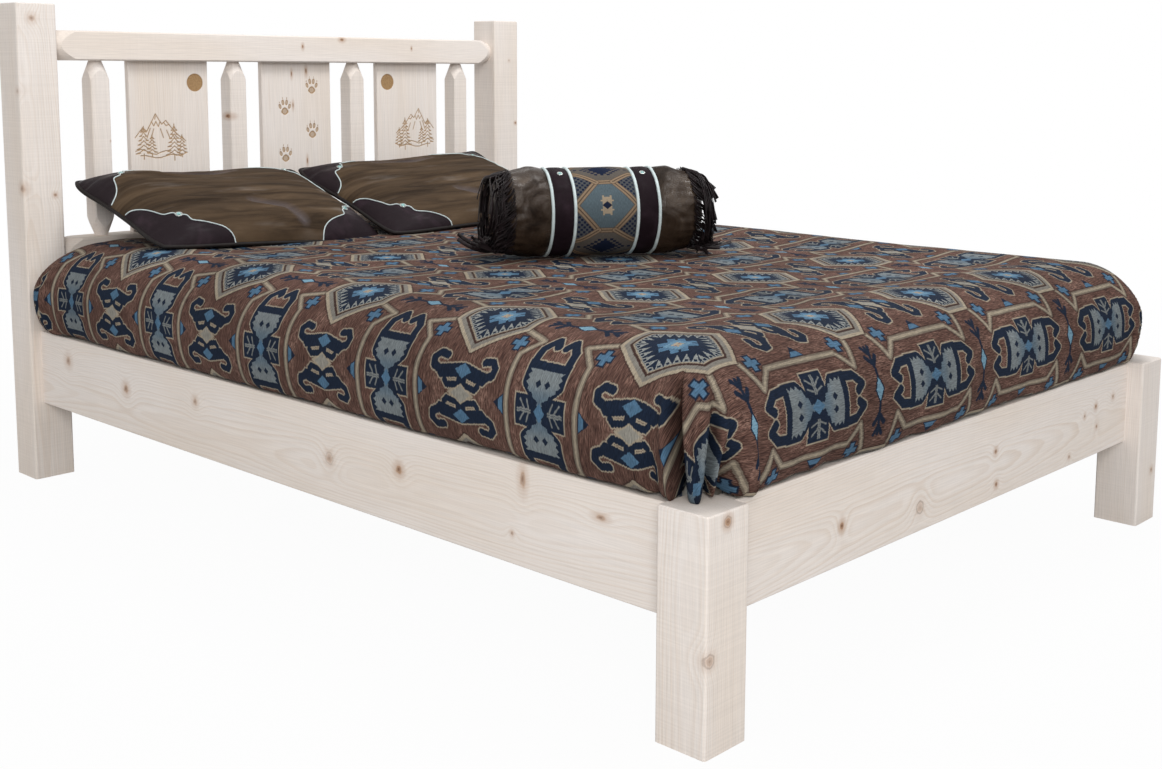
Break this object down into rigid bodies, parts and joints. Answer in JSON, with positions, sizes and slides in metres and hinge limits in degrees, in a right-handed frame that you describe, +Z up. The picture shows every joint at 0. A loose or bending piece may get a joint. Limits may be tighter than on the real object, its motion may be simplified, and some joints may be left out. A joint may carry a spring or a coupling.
{
  "type": "log bed",
  "caption": "Rustic pine log bed for a queen mattress, with a spindle and board head end, plank rails on hook plates, slats, patterned bedspread, pillows and bolster.",
  "frame": {"origin": "on the floor, at the middle of the bed's length and width", "axes": "+X to the right seen from the foot, +Y towards the head end, +Z up"},
  "size_m": [1.676, 2.286, 1.194],
  "materials": {
    "pine": "bare, sanded",
    "steel": "zinc plated",
    "mattress_ticking": "woven ticking",
    "woven_cloth": "coarse pattern weave",
    "brown_suede": "rubbed suede",
    "dark_leather": "smooth, soft sheen",
    "white_piping": "smooth cord",
    "concho_metal": "aged, with a green stone tint"
  },
  "bodies": {
    "root": {"head_post_left": "pine", "foot_post_left": "pine", "side_rail_left": "pine", "cleat_left": "pine", "head_post_right": "pine", "foot_post_right": "pine", "side_rail_right": "pine", "cleat_right": "pine", "head_top_rail": "pine", "head_lower_rail": "pine", "foot_rail": "pine", "spindle_1": "pine", "spindle_2": "pine", "spindle_3": "pine", "spindle_4": "pine", "head_panel_left": "pine", "head_panel_centre": "pine", "head_panel_right": "pine", "slat_01": "pine", "slat_02": "pine", "slat_03": "pine", "slat_04": "pine", "slat_05": "pine", "slat_06": "pine", "slat_07": "pine", "slat_08": "pine", "slat_09": "pine", "slat_10": "pine", "slat_11": "pine", "slat_12": "pine", "slat_13": "pine", "centre_beam": "pine", "centre_leg_1": "pine", "centre_leg_2": "pine", "centre_leg_3": "pine", "leg_screws": "steel", "hook_plate_screws": "steel", "catch_plate_screws": "steel", "cleat_screws": "steel", "slat_screws": "steel", "hook_plate_head_left": "steel", "catch_plate_head_left": "steel", "hook_plate_foot_left": "steel", "catch_plate_foot_left": "steel", "hook_plate_head_right": "steel", "catch_plate_head_right": "steel", "hook_plate_foot_right": "steel", "catch_plate_foot_right": "steel", "mattress": "mattress_ticking", "bedspread": "woven_cloth", "pillow_left": "brown_suede", "pillow_right": "brown_suede", "bolster": "brown_suede", "pillow_left_conchos": "concho_metal", "pillow_right_conchos": "concho_metal", "bolster_conchos": "concho_metal"}
  },
  "joints": []
}
